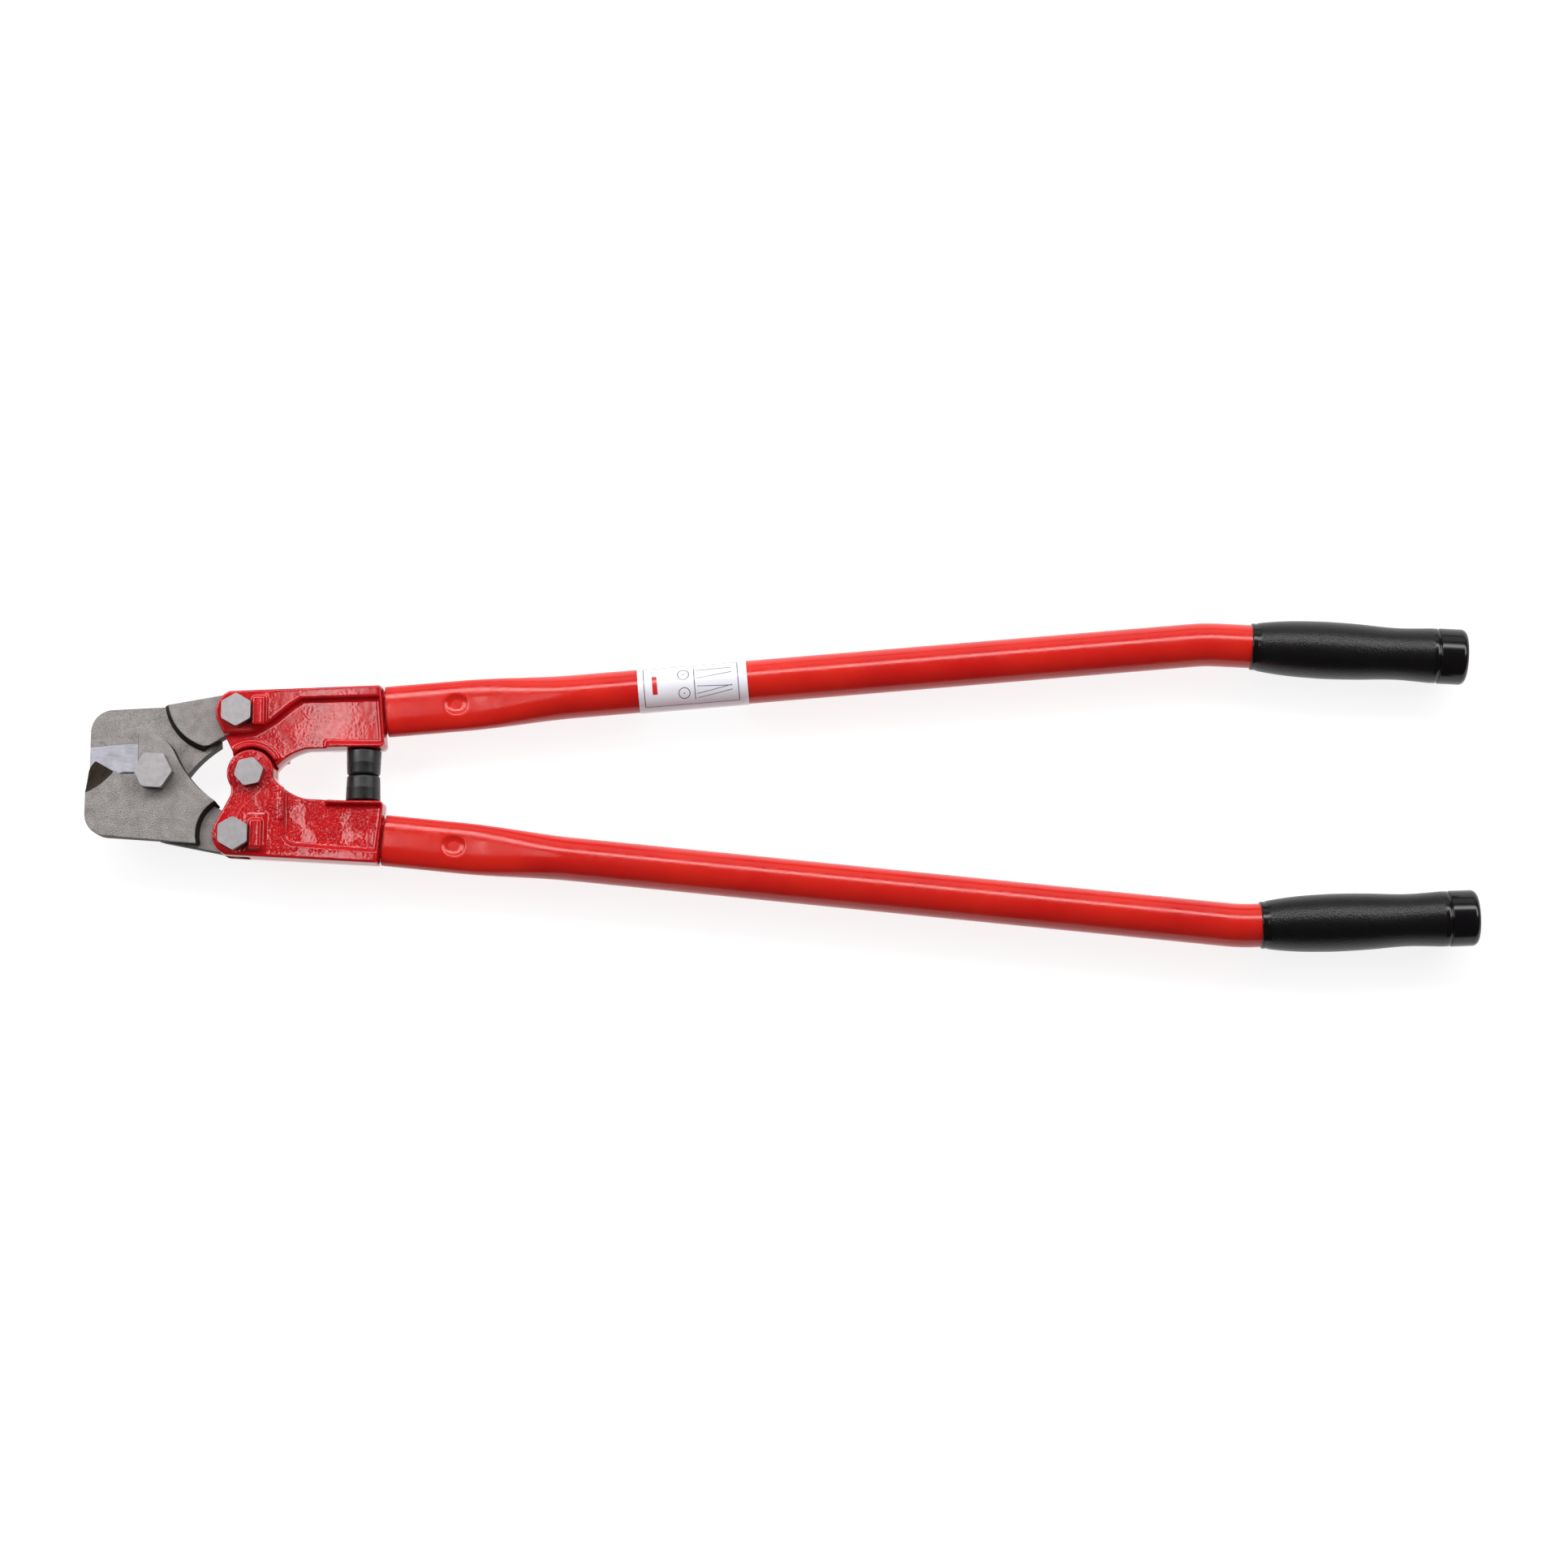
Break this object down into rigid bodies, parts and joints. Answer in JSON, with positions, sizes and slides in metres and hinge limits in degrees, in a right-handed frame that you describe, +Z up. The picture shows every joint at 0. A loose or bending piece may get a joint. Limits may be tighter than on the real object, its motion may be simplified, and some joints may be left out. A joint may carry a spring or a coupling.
{
  "type": "bolt cutters",
  "caption": "Long-handled bolt cutters with two lapped plate blades, cast handle heads, tubular handles, rubber stops and sleeve grips, shut.",
  "frame": {"origin": "under the centre of the tool's box, at the height of its lowest point, the end of the jaw bolt", "axes": "+X from the jaws to the grips, +Y to the upper handle, +Z up off the surface that the tool lies on"},
  "size_m": [0.9056, 0.2178, 0.0493],
  "materials": {
    "blade_steel": "sand-blasted tool steel, worn bright at the edges, ground at the cutting edge",
    "fastener_steel": "dull zinc plate",
    "casting_enamel": "thick glossy crimson enamel over a sand-cast surface",
    "tube_enamel": "glossy orange-red enamel on drawn tube",
    "grip_plastic": "finely grained black sleeve with smooth bands at its ends",
    "bumper_rubber": "smooth black rubber",
    "label_film": "printed white film, wrapped round the tube"
  },
  "bodies": {
    "lower_handle": {"lower_handle_casting": "casting_enamel", "lower_tube": "tube_enamel", "lower_grip": "grip_plastic", "lower_bumper": "bumper_rubber", "lower_bumper_stud": "fastener_steel", "lower_link_bolt": "fastener_steel", "lower_link_washer": "fastener_steel", "lower_link_nut": "fastener_steel", "handle_pivot_bolt": "fastener_steel", "handle_pivot_washer": "fastener_steel", "handle_pivot_nut": "fastener_steel"},
    "upper_handle": {"upper_handle_casting": "casting_enamel", "upper_tube": "tube_enamel", "upper_grip": "grip_plastic", "upper_bumper": "bumper_rubber", "upper_bumper_stud": "fastener_steel", "upper_link_bolt": "fastener_steel", "upper_link_washer": "fastener_steel", "upper_link_nut": "fastener_steel", "tube_label": "label_film"},
    "lower_blade": {"lower_blade": "blade_steel", "jaw_pivot_bolt": "fastener_steel", "jaw_pivot_washer": "fastener_steel", "jaw_pivot_nut": "fastener_steel"},
    "upper_blade": {"upper_blade": "blade_steel"}
  },
  "joints": [
    {"name": "handle_pivot", "type": "hinge", "parent": "lower_handle", "child": "upper_handle", "pos_m": [-0.34597, 0.00135, 0.0272], "axis": [0, 0, 1], "range_deg": [0, 76]},
    {"name": "lower_link", "type": "hinge", "parent": "lower_handle", "child": "lower_blade", "pos_m": [-0.35522, -0.039, 0.0272], "axis": [0, 0, 1], "range_deg": [0, 51.3]},
    {"name": "jaw_pivot", "type": "hinge", "parent": "lower_blade", "child": "upper_blade", "pos_m": [-0.40782, 0.00135, 0.0272], "axis": [0, 0, 1], "range_deg": [-26.5, 0]}
  ],
  "couplings": [
    {"joint": "lower_link", "follows": "handle_pivot", "ratio": 0.6736},
    {"joint": "jaw_pivot", "follows": "handle_pivot", "ratio": -0.3473}
  ]
}
